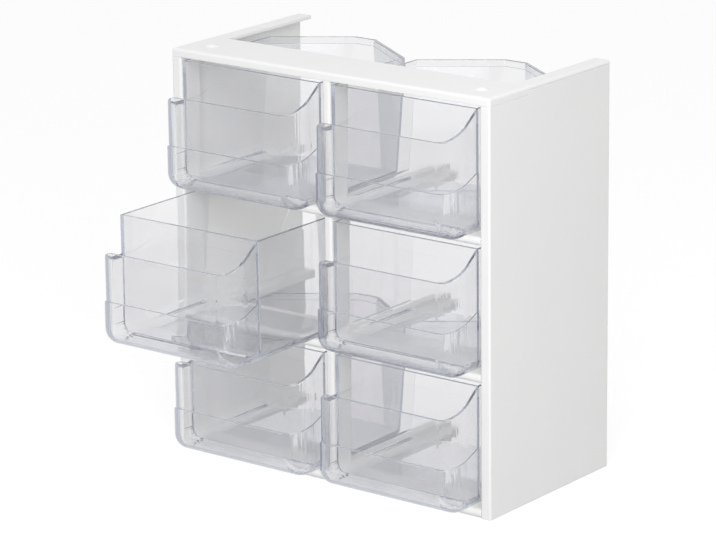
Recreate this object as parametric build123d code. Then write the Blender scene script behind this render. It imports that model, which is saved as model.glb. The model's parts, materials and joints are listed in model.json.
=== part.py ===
"""Kitchen bin rack: a white moulded frame of two columns and three rows with six clear slide-out bins.

Millimetres. X runs to the right, Y to the back and Z up, with the origin on the floor under the middle
of the frame's footprint. The middle-left bin rests pulled part of the way out.
"""
from build123d import *
import os
from math import radians, sin, sqrt

# Frame, overall
rack_width = 300.0
rack_depth = 155.0
rows = 3

# Frame, side panels and their front posts
panel_wall = 3.0
post_width = 9.0
post_depth = 22.0
post_edge_radius = 1.8
panel_back_radius = 1.2
ledge_width = 2.5
ledge_height = 3.0
ledge_end_margin = 6.0

# Frame, plates: one base, two shelves and the top
plate_thickness = 6.5
bar_depth = 50.0
side_prong_width = 11.0
runner_width = 30.0
prong_inset = 1.0
nose_radius = 3.0
inner_corner_radius = 2.0
top_skin = 3.0
top_edge_radius = 2.2

# Frame, coring pockets under the plates
pocket_depth = 3.6
pocket_rib = 3.0
pocket_lip = 3.5
bar_lip = 6.5
bar_pockets = 3
prong_pockets = 3
end_block = 21.0
centre_block = 12.0
base_pad = 16.0

# Frame, dividers and the guide rib that parts the two columns
divider_width = 7.0
divider_depth = 22.0
divider_edge_radius = 2.2
guide_width = 3.0
guide_height = 4.0

# Frame, tenons that join plates, posts and dividers
tenon_length = 5.0
tenon_depth = 13.0
tenon_height = 3.5
peg_length = 2.6
peg_width = 3.4
fit_clearance = 0.15

# Frame, stacking studs on the top and their sockets in the base
stud_radius = 5.5
stud_height = 2.0
stud_side_offset = 22.5
stud_front_offset = 21.5
socket_clearance = 0.4

# Bins
bin_height = 96.0
bin_length = 143.0
bin_wall = 2.2
bin_corner_radius = 12.5
bin_headroom = 2.2
bin_seat_gap = 0.3
bin_side_play = 1.75
pulled_out = 77.0

# Bins, pouring spout at the back
spout_run = 39.0
nose_half_width = 10.0
nose_lean = 28.0
flank_lean = 10.0
spout_band_height = 5.5
spout_band_proud = 0.8

# Bins, grip lip at the front
lip_depth = 29.5
lip_corner_radius = 17.5
chin_radius = 17.0
rim_height = 74.5
rim_end_drop = 1.0
rim_fall_radius = 17.0
rim_overrun = 0.3
crease_height = 36.5
crease_fall_radius = 12.0
crease_rise = 12.5
crease_step = 1.5
crease_side_step = 0.4

# Modelling: how far a cutting space reaches past a solid, the least flat left beside a round, and how near
# to its named place an edge is looked for
cut_margin = 4.0
least_flat = 0.4
pick_reach = 0.05

# Places that follow from the sizes
front = -rack_depth / 2
back = rack_depth / 2
row_pitch = plate_thickness + bin_seat_gap + bin_height + bin_headroom
rack_height = rows * row_pitch + plate_thickness
panel_inner = rack_width / 2 - panel_wall
post_inner = rack_width / 2 - post_width
bay_width = post_inner - divider_width / 2
bin_half_width = bay_width / 2 - bin_side_play
column_centre = (post_inner + divider_width / 2) / 2
prong_inner = panel_inner - side_prong_width
prong_back = back - prong_inset
bar_back = front + bar_depth
tenon_y = front + post_depth / 2


def block(x0, x1, y0, y1, z0, z1):
    """A block between two opposite corners."""
    middle = Pos((x0 + x1) / 2, (y0 + y1) / 2, (z0 + z1) / 2)
    return middle * Box(x1 - x0, y1 - y0, z1 - z0)


def polygon(points):
    """Flat face inside a closed line of points."""
    return make_face(Polyline(*points, close=True).edges())


def level_of(row):
    """Underside of the plate that carries a row, counted from the base."""
    return row * row_pitch


def edges_at(shape, axis, *limits):
    """Edges parallel to an axis whose centre lies at each given (axis, value) pair."""
    found = shape.edges().filter_by(axis)
    for along, value in limits:
        found = found.filter_by_position(along, value - pick_reach, value + pick_reach)
    return found


def tenon(x0, x1, z_middle, gap=0.0):
    """A tenon, or its mortise when a gap is given, between a plate's bar and a post."""
    half_y = tenon_depth / 2 + gap
    half_z = tenon_height / 2 + gap
    return block(x0, x1, tenon_y - half_y, tenon_y + half_y, z_middle - half_z, z_middle + half_z)


def peg(x, z0, z1, gap=0.0):
    """An upright peg, or its socket when a gap is given, between a plate and what stands on or under it."""
    half_x = peg_width / 2 + gap
    half_y = tenon_depth / 2 + gap
    return block(x - half_x, x + half_x, tenon_y - half_y, tenon_y + half_y, z0, z1)


def pocket_row(start, end, count):
    """Spans of equal coring pockets with a rib between each two."""
    span = (end - start - (count - 1) * pocket_rib) / count
    return [(start + i * (span + pocket_rib), start + i * (span + pocket_rib) + span) for i in range(count)]


def bar_coring(z0):
    """Pockets under the front bar, clear of the joints at its ends and middle."""
    pockets = []
    for x0, x1 in pocket_row(centre_block, post_inner - end_block, bar_pockets):
        for side in (-1, 1):
            low, high = sorted((side * x0, side * x1))
            pockets.append(block(low, high, front + bar_lip, bar_back - pocket_lip, z0, z0 + pocket_depth))
    return pockets


def prong_coring(z0):
    """Pockets under the two side prongs and the centre runner."""
    pockets = []
    for y0, y1 in pocket_row(bar_back + pocket_lip, prong_back - pocket_lip, prong_pockets):
        half = runner_width / 2 - pocket_lip
        pockets.append(block(-half, half, y0, y1, z0, z0 + pocket_depth))
        inner, outer = prong_inner + pocket_lip, panel_inner - pocket_lip
        pockets.append(block(inner, outer, y0, y1, z0, z0 + pocket_depth))
        pockets.append(block(-outer, -inner, y0, y1, z0, z0 + pocket_depth))
    return pockets


def side_panel():
    """Left panel: a thin wall with a thick front post, ledges for the shelves and mortises for the bars."""
    outer = -rack_width / 2
    post_top = rack_height - plate_thickness
    wall_outline = [
        (front, 0), (back, 0), (back, rack_height - top_skin), (bar_back, rack_height - top_skin),
        (bar_back, post_top), (front, post_top),
    ]
    wall = Pos(outer, 0, 0) * extrude(Plane.YZ * polygon(wall_outline), amount=panel_wall)
    panel = wall + block(outer, -post_inner, front, front + post_depth, 0, post_top)
    front_round = min(post_edge_radius, post_width / 2 - least_flat)
    panel = fillet(edges_at(panel, Axis.Z, (Axis.Y, front)), front_round)
    back_round = min(panel_back_radius, panel_wall / 2 - least_flat / 2)
    panel = fillet(edges_at(panel, Axis.Z, (Axis.Y, back)), back_round)
    for row in range(1, rows):
        top = level_of(row)
        panel += block(
            outer + panel_wall, outer + panel_wall + ledge_width,
            front + post_depth, back - ledge_end_margin, top - ledge_height, top,
        )
    for row in range(rows):
        middle = level_of(row) + plate_thickness / 2
        panel -= tenon(-post_inner - tenon_length - fit_clearance, -post_inner, middle, fit_clearance)
    return panel + peg(outer + post_width / 2, post_top, post_top + peg_length)


def plate(row):
    """Base or shelf: a round-nosed front bar, two side prongs and a centre runner that the bins slide on."""
    z0 = level_of(row)
    z1 = z0 + plate_thickness
    behind_post = front + post_depth + fit_clearance
    prong_outer = panel_inner - fit_clearance
    half = [
        (post_inner, front), (post_inner, behind_post), (prong_outer, behind_post), (prong_outer, prong_back),
        (prong_inner, prong_back), (prong_inner, bar_back), (runner_width / 2, bar_back),
        (runner_width / 2, prong_back),
    ]
    outline = half + [(-x, y) for x, y in reversed(half)]
    shape = Pos(0, 0, z0) * extrude(polygon(outline), amount=plate_thickness)
    shape = fillet(edges_at(shape, Axis.Z, (Axis.Y, bar_back)), inner_corner_radius)
    nose = min(nose_radius, plate_thickness / 2 - least_flat / 2)
    shape = fillet(edges_at(shape, Axis.X, (Axis.Y, front)), nose)
    for pocket in bar_coring(z0) + prong_coring(z0):
        shape -= pocket
    guide_start = front + divider_depth
    shape += block(-guide_width / 2, guide_width / 2, guide_start, prong_back, z1, z1 + guide_height)
    for side in (-1, 1):
        x0, x1 = sorted((side * post_inner, side * (post_inner + tenon_length)))
        shape += tenon(x0, x1, z0 + plate_thickness / 2)
    shape -= peg(0, z1 - peg_length - fit_clearance, z1, fit_clearance)
    if row > 0:
        shape -= peg(0, z0, z0 + peg_length + fit_clearance, fit_clearance)
        return shape
    shape += block(-base_pad / 2, base_pad / 2, -base_pad / 2, base_pad / 2, 0, pocket_depth)
    for x, y in stud_places():
        shape -= Pos(x, y, 0) * Cylinder(
            stud_radius + socket_clearance, stud_height + socket_clearance,
            align=(Align.CENTER, Align.CENTER, Align.MIN),
        )
    return shape


def stud_places():
    """Plan places of the stacking studs, which the base's sockets share."""
    x = rack_width / 2 - stud_side_offset
    return [(side * x, front + stud_front_offset) for side in (-1, 1)]


def stacking_stud():
    """A low round button with a domed head."""
    dome_radius = (stud_radius ** 2 + stud_height ** 2) / (2 * stud_height)
    dome = Pos(0, 0, stud_height - dome_radius) * Sphere(dome_radius)
    stem = Cylinder(stud_radius, stud_height, align=(Align.CENTER, Align.CENTER, Align.MIN))
    return dome & stem


def top_plate():
    """Top: a thin plate open at the back, with a deep front bar and a flange along each side."""
    top = rack_height
    outer = rack_width / 2
    half = [(outer, front), (outer, back), (prong_inner, back), (prong_inner, bar_back)]
    outline = half + [(-x, y) for x, y in reversed(half)]
    skin = extrude(polygon(outline), amount=top_skin)
    shape = Pos(0, 0, top - top_skin) * skin
    shape += block(-outer, outer, front, bar_back, top - plate_thickness, top)
    upright = edges_at(shape, Axis.Z, (Axis.Y, front))
    front_top = edges_at(shape, Axis.X, (Axis.Y, front), (Axis.Z, top))
    side_top = [e for e in edges_at(shape, Axis.Y, (Axis.Z, top)) if abs(e.center().X) > outer - pick_reach]
    shape = fillet(list(upright) + list(front_top) + side_top, min(top_edge_radius, top_skin - least_flat))
    for pocket in bar_coring(top - plate_thickness):
        shape -= pocket
    for x in (-outer + post_width / 2, 0, outer - post_width / 2):
        z0 = top - plate_thickness
        shape -= peg(x, z0, z0 + peg_length + fit_clearance, fit_clearance)
    for x, y in stud_places():
        shape += Pos(x, y, top) * stacking_stud()
    return shape


def divider(row):
    """Slim round-nosed post between the two bins of a row, pegged into the plates under and over it."""
    z0 = level_of(row) + plate_thickness
    z1 = level_of(row + 1)
    half = divider_width / 2
    shape = block(-half, half, front, front + divider_depth, z0, z1)
    shape = fillet(edges_at(shape, Axis.Z, (Axis.Y, front)), min(divider_edge_radius, half - least_flat))
    return shape + peg(0, z0 - peg_length, z0) + peg(0, z1, z1 + peg_length)


def trough(inset, y0, y1):
    """Space inside a bin's U-shaped section, from y0 to y1, drawn in from its outside by the inset."""
    half = bin_half_width - inset
    top = bin_height + (cut_margin if inset else 0.0)
    section = Plane.XZ * (Pos(0, (inset + top) / 2) * Rectangle(2 * half, top - inset))
    lower = section.vertices().filter_by_position(Axis.Z, inset - pick_reach, inset + pick_reach)
    section = fillet(lower, bin_corner_radius - inset)
    return Pos(0, y0, 0) * extrude(section, amount=y1 - y0, dir=(0, 1, 0))


def body_ring(inset, drop, z):
    """Plan of the body at a height: side walls, flanks and nose; drop is 0 at the rim and 1 at the floor."""
    slope = spout_run / (bin_half_width - nose_half_width)
    nose_y = bin_length - nose_lean * drop - inset
    flank_y = bin_length - flank_lean * drop - inset * sqrt(1 + slope ** 2)
    nose_x = nose_half_width + (flank_y - nose_y) / slope
    side_x = bin_half_width - max(inset, 0.0)
    side_y = flank_y - (side_x - nose_half_width) * slope
    half = [(side_x, 0, z), (side_x, side_y, z), (nose_x, nose_y, z)]
    return half + [(-x, y, z) for x, y, z in reversed(half)]


def body_space(inset):
    """Outside of the bin's body, or its inside with the wall as inset, with leaning spout faces."""
    band_floor = bin_height - spout_band_height
    top = bin_height + (cut_margin if inset else 0.0)
    low = body_ring(inset, 1.0, 0.0)
    high = body_ring(inset, 0.0, band_floor)
    around = [polygon([low[i - 1], low[i], high[i], high[i - 1]]) for i in range(len(low))]
    space = Solid(Shell(around + [polygon(low), polygon(high)]))
    space += extrude(polygon(high), amount=top - band_floor)
    if inset == 0:
        space += extrude(polygon(body_ring(-spout_band_proud, 0.0, band_floor)), amount=spout_band_height)
    return space & trough(inset, inset, bin_length + cut_margin)


def lip_block(inset, front_step=0.0, side_step=0.0):
    """Block with the lip's plan corners, its chin rolled back under it, and the bin's own round along each side."""
    half = bin_half_width + side_step - inset
    reach = lip_depth + front_step - inset
    tail = 0.0 if inset else bin_wall
    plain = block(-half, half, -reach, tail, inset, bin_height + cut_margin)
    widest = reach - least_flat
    corners = fillet(edges_at(plain, Axis.Z, (Axis.Y, -reach)), min(lip_corner_radius - inset, widest))
    chin_edge = edges_at(plain, Axis.X, (Axis.Y, -reach), (Axis.Z, inset))
    chin = fillet(chin_edge, min(chin_radius - inset, widest))
    sides = fillet(edges_at(plain, Axis.Y, (Axis.Z, inset)), bin_corner_radius - inset)
    return corners & chin & sides


def under_sweep(level, fall_radius, rise, climb_start):
    """Space under a line that is level in front, falls round the left corner and climbs the right side."""
    side = bin_half_width + cut_margin
    outermost = -lip_depth - crease_step - cut_margin
    innermost = bin_wall + cut_margin
    fall_end = -bin_half_width - rim_overrun
    fall_start = fall_end + fall_radius
    turn = fall_radius * sin(radians(45))
    fall = ThreePointArc(
        (fall_start, level), (fall_start - turn, level - fall_radius + turn), (fall_end, level - fall_radius),
    )
    rest = Polyline(
        (fall_end, level - fall_radius), (-side, level - fall_radius), (-side, -cut_margin),
        (fall_start, -cut_margin), (fall_start, level),
    )
    left = Plane.XZ * make_face([fall] + list(rest.edges()))
    left = Pos(0, outermost, 0) * extrude(left, amount=innermost - outermost, dir=(0, 1, 0))
    profile = [
        (outermost, -cut_margin), (outermost, level), (climb_start, level), (0, level + rise),
        (innermost, level + rise), (innermost, -cut_margin),
    ]
    right = Pos(fall_start, 0, 0) * extrude(Plane.YZ * polygon(profile), amount=side - fall_start)
    return left + right


def storage_bin():
    """One-piece clear bin: tray with a leaning spout at the back and a grip lip in front of its front."""
    rim_rise = bin_height - rim_end_drop - rim_height
    under_rim = under_sweep(rim_height, rim_fall_radius, rim_rise, bin_wall - lip_depth)
    under_crease = under_sweep(crease_height, crease_fall_radius, crease_rise, -lip_depth)
    shape = lip_block(0.0) & under_rim
    shape += lip_block(0.0, crease_step, crease_side_step) & under_crease
    shape += body_space(0.0)
    shape -= body_space(bin_wall)
    return shape - lip_block(bin_wall)


os.makedirs("parts", exist_ok=True)

left_panel = side_panel()
export_step(left_panel, "parts/left_side_panel.step")
export_step(mirror(left_panel, about=Plane.YZ), "parts/right_side_panel.step")
export_step(top_plate(), "parts/top_plate.step")
export_step(plate(0), "parts/base_plate.step")
export_step(plate(1), "parts/lower_shelf.step")
export_step(plate(2), "parts/upper_shelf.step")

row_names = ("bottom", "middle", "top")
clear_bin = storage_bin()
for row, row_name in enumerate(row_names):
    export_step(divider(row), f"parts/{row_name}_divider.step")
    seat = level_of(row) + plate_thickness + bin_seat_gap
    for side, side_name in ((-1, "left"), (1, "right")):
        pull = pulled_out if (row_name, side_name) == ("middle", "left") else 0.0
        placed = Pos(side * column_centre, front - pull, seat) * clear_bin
        export_step(placed, f"parts/{row_name}_{side_name}_bin.step")
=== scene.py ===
"""Looks of a white moulded bin rack with six clear slide-out bins, in metres, in the rack's own frame."""
import json
from math import cos, hypot, radians, sin

import bmesh
import bpy
from mathutils import Matrix, Vector

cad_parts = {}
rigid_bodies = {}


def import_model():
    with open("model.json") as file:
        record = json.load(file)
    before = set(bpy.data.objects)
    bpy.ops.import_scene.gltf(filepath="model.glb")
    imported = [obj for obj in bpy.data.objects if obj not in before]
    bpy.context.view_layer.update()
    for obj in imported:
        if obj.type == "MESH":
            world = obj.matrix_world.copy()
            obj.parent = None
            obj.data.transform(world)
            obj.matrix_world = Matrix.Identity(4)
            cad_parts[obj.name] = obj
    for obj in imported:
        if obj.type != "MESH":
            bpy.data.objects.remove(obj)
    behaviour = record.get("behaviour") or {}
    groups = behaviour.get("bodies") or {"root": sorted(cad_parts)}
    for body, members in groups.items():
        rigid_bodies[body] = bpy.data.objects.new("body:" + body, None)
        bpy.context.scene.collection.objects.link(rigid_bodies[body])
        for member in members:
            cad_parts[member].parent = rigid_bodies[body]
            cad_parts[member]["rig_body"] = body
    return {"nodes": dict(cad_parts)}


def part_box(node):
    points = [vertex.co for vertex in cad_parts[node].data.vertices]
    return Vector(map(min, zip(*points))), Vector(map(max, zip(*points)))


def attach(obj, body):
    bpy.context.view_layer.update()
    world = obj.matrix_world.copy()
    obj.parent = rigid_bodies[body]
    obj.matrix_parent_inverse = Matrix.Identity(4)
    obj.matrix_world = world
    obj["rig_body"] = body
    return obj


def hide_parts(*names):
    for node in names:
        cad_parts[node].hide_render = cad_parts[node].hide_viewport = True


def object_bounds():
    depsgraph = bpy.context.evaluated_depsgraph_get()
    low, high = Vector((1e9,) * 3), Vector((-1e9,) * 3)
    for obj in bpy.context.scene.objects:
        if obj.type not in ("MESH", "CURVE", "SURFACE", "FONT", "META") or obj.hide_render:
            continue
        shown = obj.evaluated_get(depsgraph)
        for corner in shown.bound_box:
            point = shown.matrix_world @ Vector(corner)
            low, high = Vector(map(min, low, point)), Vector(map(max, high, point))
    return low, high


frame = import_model()
moulded_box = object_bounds()

# Side panels: one white moulding for each side, a thin wall behind a thick front post, with ledges for the
# shelves. High-impact polystyrene, glossy off the polished tool, with its edges eased by the parting line.
panel_edge = 0.0005
merge_reach = 2e-6
flat_turn = 0.6
edge_segments = 2
flat_share = 80
white_crease = 35.0
white_tone = (0.86, 0.862, 0.855)
white_shade = (0.83, 0.832, 0.828)
cloud_size = 0.06
peel_size = 0.0016
peel_depth = 0.000012
peel_strength = 0.35
gloss_level = 0.30
gloss_swing = 0.10
white_index = 1.55


class Signal:
    """A shader socket that can be added, multiplied, raised and mixed as a number is."""

    def __init__(self, tree, socket):
        self.tree = tree
        self.socket = socket

    def node(self, kind, inputs=None, output=0, **settings):
        """A new node of a kind, with its settings and its inputs by name or number."""
        made = self.tree.nodes.new(kind)
        for key, value in settings.items():
            setattr(made, key, value)
        for key, value in (inputs or {}).items():
            if isinstance(value, Signal):
                self.tree.links.new(value.socket, made.inputs[key])
            else:
                made.inputs[key].default_value = value
        return Signal(self.tree, made.outputs[output])

    def maths(self, operation, other, swapped=False):
        """One Math node between this socket and another socket or number."""
        first, second = (other, self) if swapped else (self, other)
        return self.node("ShaderNodeMath", {0: first, 1: second}, operation=operation)

    def __add__(self, other):
        return self.maths("ADD", other)

    __radd__ = __add__

    def __mul__(self, other):
        return self.maths("MULTIPLY", other)

    __rmul__ = __mul__

    def __rsub__(self, other):
        return self.maths("SUBTRACT", other, swapped=True)

    def __pow__(self, other):
        return self.maths("POWER", other)

    def between(self, first, second):
        """A colour that goes from the first to the second as this socket goes from 0 to 1."""
        mix = self.tree.nodes.new("ShaderNodeMix")
        mix.data_type = "RGBA"
        self.tree.links.new(self.socket, mix.inputs["Factor"])
        for name, value in (("A", first), ("B", second)):
            colour_socket = next(s for s in mix.inputs if s.name == name and s.type == "RGBA")
            colour_socket.default_value = (*value, 1.0)
        result = next(s for s in mix.outputs if s.type == "RGBA")
        return Signal(self.tree, result)


def blank_material(name):
    """A material with an empty tree, the tree's place on the object as a first signal, and its output."""
    material = bpy.data.materials.new(name)
    material.use_nodes = True
    tree = material.node_tree
    tree.nodes.clear()
    place = tree.nodes.new("ShaderNodeTexCoord")
    output = tree.nodes.new("ShaderNodeOutputMaterial")
    return material, Signal(tree, place.outputs["Object"]), output


def noise(place, size, detail=2.0, roughness=0.5):
    """Even noise with features about as wide as the size given, in metres."""
    settings = {"Vector": place, "Scale": 1.0 / size, "Detail": detail, "Roughness": roughness}
    return place.node("ShaderNodeTexNoise", settings)


def moulded_white(name):
    """Opaque white plastic: faint clouding of the tone, and the low orange peel of a polished tool."""
    material, place, output = blank_material(name)
    tone = noise(place, cloud_size).between(white_tone, white_shade)
    gloss = noise(place, cloud_size / 3) * gloss_swing + gloss_level
    peel = place.node(
        "ShaderNodeBump",
        {"Strength": peel_strength, "Distance": peel_depth, "Height": noise(place, peel_size, detail=3.0)},
    )
    finish = {"Base Color": tone, "Roughness": gloss, "Normal": peel, "IOR": white_index}
    body = place.node("ShaderNodeBsdfPrincipled", finish)
    place.tree.links.new(body.socket, output.inputs["Surface"])
    return material


def merged_shape(node):
    """A node's triangles as one closed shape, with its flat faces whole again."""
    shape = bmesh.new()
    shape.from_mesh(frame["nodes"][node].data)
    bmesh.ops.remove_doubles(shape, verts=shape.verts, dist=merge_reach)
    bmesh.ops.dissolve_limit(shape, angle_limit=radians(flat_turn), verts=shape.verts, edges=shape.edges)
    return shape


def moulding(node, mesh, edge, material, crease=white_crease):
    """An object that takes a node's place, its sharp edges eased and its flat faces kept flat in shading."""
    mesh.name = f"{node}_mesh"
    mesh.materials.clear()
    mesh.materials.append(material)
    mesh.polygons.foreach_set("use_smooth", [True] * len(mesh.polygons))
    mesh.set_sharp_from_angle(angle=radians(crease))
    piece = bpy.data.objects.new(f"{node}_moulding", mesh)
    bpy.context.scene.collection.objects.link(piece)
    eased = piece.modifiers.new("eased_edges", "BEVEL")
    eased.width = edge
    eased.segments = edge_segments
    eased.limit_method = "WEIGHT" if "bevel_weight_edge" in mesh.attributes else "ANGLE"
    eased.angle_limit = radians(crease)
    eased.use_clamp_overlap = False
    flats = piece.modifiers.new("flat_faces", "WEIGHTED_NORMAL")
    flats.weight = flat_share
    flats.keep_sharp = True
    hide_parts(node)
    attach(piece, frame["nodes"][node]["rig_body"])


def plain_moulding(node, edge, material):
    """A white moulding straight from its node."""
    shape = merged_shape(node)
    mesh = bpy.data.meshes.new(node)
    shape.to_mesh(mesh)
    shape.free()
    moulding(node, mesh, edge, material)


panel_plastic = moulded_white("panel_plastic")
for panel_node in ("left_side_panel", "right_side_panel"):
    plain_moulding(panel_node, panel_edge, panel_plastic)

# Base and shelves: a round-nosed front bar with two side prongs and a centre runner, cored from below.
# White polystyrene moulded with the panels' finish, held by tenons in the posts.
plate_edge = 0.0004
plate_plastic = moulded_white("plate_plastic")
for plate_node in ("base_plate", "lower_shelf", "upper_shelf"):
    plain_moulding(plate_node, plate_edge, plate_plastic)

# Dividers: slim round-nosed posts pegged between the plates, one for each row.
# White polystyrene moulded with the plates' finish.
divider_edge = 0.0004
divider_plastic = moulded_white("divider_plastic")
for divider_node in ("bottom_divider", "middle_divider", "top_divider"):
    plain_moulding(divider_node, divider_edge, divider_plastic)

# Top: a thin plate open at the back, with a deep front bar, a flange along each side and two low round
# stacking studs. White polystyrene, pegged onto the posts.
top_edge = 0.0004
top_plastic = moulded_white("top_plastic")
plain_moulding("top_plate", top_edge, top_plastic)

# Bins: one-piece clear trays of polystyrene with a leaning spout at the back and a grip lip in front.
# Their thin walls are faintly tinted, with painted shade in a cool grey where a wall is seen edge on, and a
# painted grey where light guided inside a wall leaves it. The lower corners of the lip are rolled to the ball
# of the round along the bin's sides.
bin_edge = 0.0003
bin_crease = 30.0
bin_half_width = 0.067
bin_wall = 0.0022
side_round = 0.0125
lip_depth = 0.0295
crease_step = 0.0015
crease_side_step = 0.0004
corner_round = 0.0175
chin_round = 0.017
corner_cut = 0.002
cut_reach = 1e-5
skin_reach = 0.0001
roll_rounds = 40
clear_tone = (0.935, 0.933, 0.94)
# Painted shade: a cool grey mixed into the bins' colour where a wall is seen edge on, standing in for the
# dark lines of light bent in the walls.
edge_on_painted_shade = (0.42, 0.45, 0.52)
# Painted shade: the flat grey in which light guided inside a wall leaves it, in place of tracing it further.
guided_painted_shade = (0.46, 0.48, 0.54)
shadow_tone = (0.997, 0.997, 0.998)
flow_size = 0.05
flow_depth = 0.00003
flow_strength = 0.25
edge_power = 3.0
clear_gloss = 0.02
clear_index = 1.57
proud_skin = (bin_half_width + crease_side_step, lip_depth + crease_step, 0.0)
pocket_skin = (bin_half_width - bin_wall, lip_depth - bin_wall, bin_wall)


def bin_place(node):
    """Middle of the foot of a bin's front wall, from which its own sizes are counted."""
    low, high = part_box(node)
    return Vector(((low[0] + high[0]) / 2, low[1] + lip_depth + crease_step, low[2]))


def skin_rounds(skin):
    """A lip skin's three rounds, each with its two axes (out, forward, down), their limits and its radius."""
    half, reach, inset = skin
    return (
        (0, 1, half, reach, corner_round - inset),
        (1, 2, reach, -inset, chin_round - inset),
        (0, 2, half, -inset, side_round - inset),
    )


def beyond_skin(spot, skin):
    """How far a spot lies outside a lip skin, less than 0 inside it."""
    reaches = []
    for first, second, limit_1, limit_2, radius in skin_rounds(skin):
        over_1, over_2 = spot[first] - limit_1 + radius, spot[second] - limit_2 + radius
        if over_1 > 0 and over_2 > 0:
            reaches.append(hypot(over_1, over_2) - radius)
        else:
            reaches.append(max(over_1, over_2) - radius)
    return max(reaches)


def inside_round(spot, ball, first, second, limit_1, limit_2, radius):
    """The nearest spot from which a ball stays inside one of a skin's rounds."""
    moved = spot.copy()
    over_1, over_2 = spot[first] - limit_1 + radius, spot[second] - limit_2 + radius
    if over_1 > 0 and over_2 > 0:
        share = min(1.0, (radius - ball) / hypot(over_1, over_2))
        moved[first], moved[second] = limit_1 - radius + over_1 * share, limit_2 - radius + over_2 * share
    else:
        moved[first], moved[second] = min(spot[first], limit_1 - ball), min(spot[second], limit_2 - ball)
    return moved


def rolled_spot(spot, skin):
    """Where a spot on a skin goes when a ball of the side's round rolls inside the skin."""
    ball = side_round - skin[2]
    centre = spot.copy()
    drifts = [Vector(), Vector(), Vector()]
    for _ in range(roll_rounds):
        for turn, one_round in enumerate(skin_rounds(skin)):
            before = centre + drifts[turn]
            centre = inside_round(before, ball, *one_round)
            drifts[turn] = before - centre
    away = spot - centre
    return centre + away * (ball / away.length) if away.length > ball else spot


def corner_faces(shape):
    """Faces that reach into the lip's lower corners, in a bin's own place."""
    found = []
    for face in shape.faces:
        beside = max(abs(corner.co.x) for corner in face.verts) > bin_half_width - corner_round
        ahead = min(corner.co.y for corner in face.verts) < corner_round - lip_depth
        below = min(corner.co.z for corner in face.verts) < chin_round
        if beside and ahead and below:
            found.append(face)
    return found


def rolled_bin(node):
    """A bin's mesh in its own place, its lip's lower corners cut finely and rolled."""
    shape = merged_shape(node)
    bmesh.ops.translate(shape, vec=-bin_place(node), verts=shape.verts)
    half, reach, _ = proud_skin
    planes = []
    for step in range(int(corner_round / corner_cut) + 1):
        planes += [(Vector((side * (half - step * corner_cut), 0, 0)), Vector((1, 0, 0))) for side in (-1, 1)]
        planes.append((Vector((0, step * corner_cut - reach, 0)), Vector((0, 1, 0))))
        planes.append((Vector((0, 0, step * corner_cut)), Vector((0, 0, 1))))
    for through, across in planes:
        faces = corner_faces(shape)
        edges = dict.fromkeys(edge for face in faces for edge in face.edges)
        corners = dict.fromkeys(corner for face in faces for corner in face.verts)
        geometry = [*corners, *edges, *faces]
        bmesh.ops.bisect_plane(shape, geom=geometry, plane_co=through, plane_no=across, dist=cut_reach)
    bmesh.ops.triangulate(shape, faces=corner_faces(shape))
    for corner in {corner for face in corner_faces(shape) for corner in face.verts}:
        side = 1.0 if corner.co.x > 0 else -1.0
        spot = Vector((corner.co.x * side, -corner.co.y, -corner.co.z))
        for skin in (proud_skin, pocket_skin):
            if spot.z > -chin_round and abs(beyond_skin(spot, skin)) < skin_reach:
                rolled = rolled_spot(spot, skin)
                corner.co = Vector((rolled.x * side, -rolled.y, -rolled.z))
                break
    easing = shape.edges.layers.float.new("bevel_weight_edge")
    for edge in shape.edges:
        # A face's area by its longest side: a step too narrow for two eased edges keeps its edges sharp.
        widths = [face.calc_area() / max(rim.calc_length() for rim in face.edges) for face in edge.link_faces]
        edge[easing] = float(edge.calc_face_angle() > radians(bin_crease) and min(widths) > 2 * bin_edge)
    mesh = bpy.data.meshes.new("rolled_bin")
    shape.to_mesh(mesh)
    shape.free()
    return mesh


def clear_plastic(name):
    """Clear plastic, with painted shade in grey where seen edge on and where light leaves a wall that has
    guided it.
    """
    material, place, output = blank_material(name)
    # Painted shade: the colour turns from the clear tint to the cool grey the more edge on a wall is seen.
    facing = place.node("ShaderNodeLayerWeight", {"Blend": 0.5}, output="Facing")
    tone = (facing ** edge_power).between(clear_tone, edge_on_painted_shade)
    waves = place.node(
        "ShaderNodeBump",
        {"Strength": flow_strength, "Distance": flow_depth, "Height": noise(place, flow_size)},
    )
    body = place.node(
        "ShaderNodeBsdfPrincipled",
        {
            "Base Color": tone, "Roughness": clear_gloss, "Normal": waves, "IOR": clear_index,
            "Transmission Weight": 1.0,
        },
    )
    light_path = place.tree.nodes.new("ShaderNodeLightPath")
    passing = Signal(place.tree, light_path.outputs["Is Shadow Ray"]).maths(
        "MAXIMUM", Signal(place.tree, light_path.outputs["Is Diffuse Ray"])
    )
    through = place.node("ShaderNodeBsdfTransparent", {"Color": (*shadow_tone, 1.0)})
    # Painted shade: a ray that meets a wall from inside after a reflection leaves through it in flat grey.
    from_inside = place.node("ShaderNodeNewGeometry", output="Backfacing")
    guided = (1.0 - Signal(place.tree, light_path.outputs["Is Transmission Ray"])) * from_inside
    let_out = place.node("ShaderNodeBsdfTransparent", {"Color": (*guided_painted_shade, 1.0)})
    wall = place.node("ShaderNodeMixShader", {0: guided, 1: body, 2: let_out})
    finish = place.node("ShaderNodeMixShader", {0: passing, 1: wall, 2: through})
    place.tree.links.new(finish.socket, output.inputs["Surface"])
    return material


bin_plastic = clear_plastic("bin_plastic")
one_bin = rolled_bin("top_left_bin")
for row_name in ("bottom", "middle", "top"):
    for side_name in ("left", "right"):
        bin_node = f"{row_name}_{side_name}_bin"
        placed_bin = one_bin.copy()
        placed_bin.transform(Matrix.Translation(bin_place(bin_node)))
        moulding(bin_node, placed_bin, bin_edge, bin_plastic, crease=bin_crease)
bpy.data.meshes.remove(one_bin)

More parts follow.
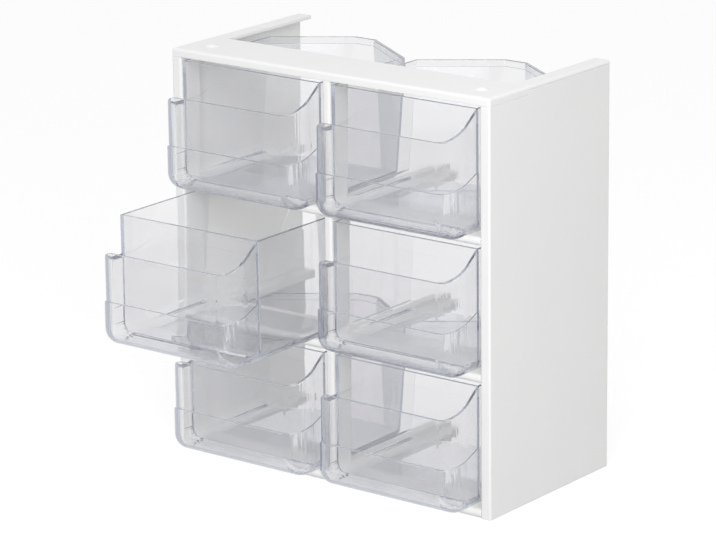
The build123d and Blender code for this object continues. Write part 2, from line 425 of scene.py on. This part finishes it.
# Floor: a wide sheet of matt card that runs under the rack and keeps its soft shadow.
# The camera, glossy surfaces and clear walls see it as part of the white background.
floor_half = 6.0
floor_tone = (0.52, 0.52, 0.52)
floor_seen = (0.40, 0.40, 0.40)
floor_unlit = (0.0, 0.0, 0.0)
floor_glow = (0.66, 0.66, 0.66)
floor_mesh = bpy.data.meshes.new("floor_mesh")
floor_corners = [(x * floor_half, y * floor_half, 0.0) for x, y in ((-1, -1), (1, -1), (1, 1), (-1, 1))]
floor_mesh.from_pydata(floor_corners, [], [(0, 1, 2, 3)])
floor = bpy.data.objects.new("floor", floor_mesh)
bpy.context.scene.collection.objects.link(floor)
card, card_place, card_output = blank_material("floor_card")
card_path = card_place.tree.nodes.new("ShaderNodeLightPath")
seen = Signal(card_place.tree, card_path.outputs["Is Camera Ray"])
for other_ray in ("Is Glossy Ray", "Is Transmission Ray"):
    seen = seen.maths("MAXIMUM", Signal(card_place.tree, card_path.outputs[other_ray]))
card_body = card_place.node("ShaderNodeBsdfDiffuse", {"Color": seen.between(floor_tone, floor_seen)})
card_glow = card_place.node("ShaderNodeEmission", {"Color": seen.between(floor_unlit, floor_glow)})
card_sum = card_place.node("ShaderNodeAddShader", {0: card_body, 1: card_glow})
card_place.tree.links.new(card_sum.socket, card_output.inputs["Surface"])
floor_mesh.materials.append(card)

# Studio: a white room that is brighter overhead, and one large soft lamp from the front and right.
# The camera, glossy surfaces and clear walls see the room as plain white.
room_horizon = 0.42
room_climb = 0.48
lamp_power = 14.5
lamp_size = 1.2
lamp_distance = 1.5
lamp_azimuth = 36.0
lamp_elevation = 25.0
world = bpy.data.worlds.new("white_room")
world.use_nodes = True
bpy.context.scene.world = world
room = world.node_tree
room.nodes.clear()
room_path = room.nodes.new("ShaderNodeLightPath")
in_view = Signal(room, room_path.outputs["Is Camera Ray"])
for other_ray in ("Is Glossy Ray", "Is Transmission Ray"):
    in_view = in_view.maths("MAXIMUM", Signal(room, room_path.outputs[other_ray]))
direction = in_view.node("ShaderNodeTexCoord", output="Generated")
height = direction.node("ShaderNodeSeparateXYZ", {"Vector": direction}, output="Z").maths("MAXIMUM", 0.0)
room_level = height * room_climb + room_horizon
room_strength = in_view * (1.0 - room_level) + room_level
room_light = in_view.node("ShaderNodeBackground", {"Color": (1.0, 1.0, 1.0, 1.0), "Strength": room_strength})
room_output = room.nodes.new("ShaderNodeOutputWorld")
room.links.new(room_light.socket, room_output.inputs["Surface"])


def towards(azimuth, elevation):
    """Unit direction from the rack to a place at this azimuth, from its front to its right, and elevation."""
    turn, rise = radians(azimuth), radians(elevation)
    return Vector((sin(turn) * cos(rise), -cos(turn) * cos(rise), sin(rise)))


rack_middle = Vector((0.0, 0.0, moulded_box[1][2] / 2))
lamp_data = bpy.data.lights.new("softbox", "AREA")
lamp_data.energy = lamp_power
lamp_data.size = lamp_size
lamp = bpy.data.objects.new("softbox", lamp_data)
bpy.context.scene.collection.objects.link(lamp)
lamp.location = rack_middle + towards(lamp_azimuth, lamp_elevation) * lamp_distance
lamp.rotation_euler = towards(lamp_azimuth, lamp_elevation).to_track_quat("Z", "Y").to_euler()

# Camera: a long lens to the right of the rack's front and a little above it, rolled by a hair.
camera_azimuth = 37.88
camera_elevation = 15.96
camera_roll = -0.72
camera_distance = 2.802
camera_aim = Vector((-0.0183, -0.0174, 0.152))
camera_lens = 182.9
camera_data = bpy.data.cameras.new("camera")
camera_data.lens = camera_lens
camera_data.sensor_width = 36.0
camera = bpy.data.objects.new("camera", camera_data)
bpy.context.scene.collection.objects.link(camera)
backwards = towards(camera_azimuth, camera_elevation)
upright = backwards.to_track_quat("Z", "Y").to_matrix().to_4x4()
rolled_over = Matrix.Rotation(radians(camera_roll), 4, "Z")
camera.matrix_world = Matrix.Translation(camera_aim + backwards * camera_distance) @ upright @ rolled_over
bpy.context.scene.camera = camera
bpy.context.scene.view_settings.view_transform = "Standard"

# Light paths: enough turns for light to cross the walls of two bins one behind the other.
wall_crossings = 32
light_paths = bpy.context.scene.cycles
light_paths.max_bounces = wall_crossings
light_paths.glossy_bounces = wall_crossings
light_paths.transmission_bounces = wall_crossings
light_paths.transparent_max_bounces = wall_crossings
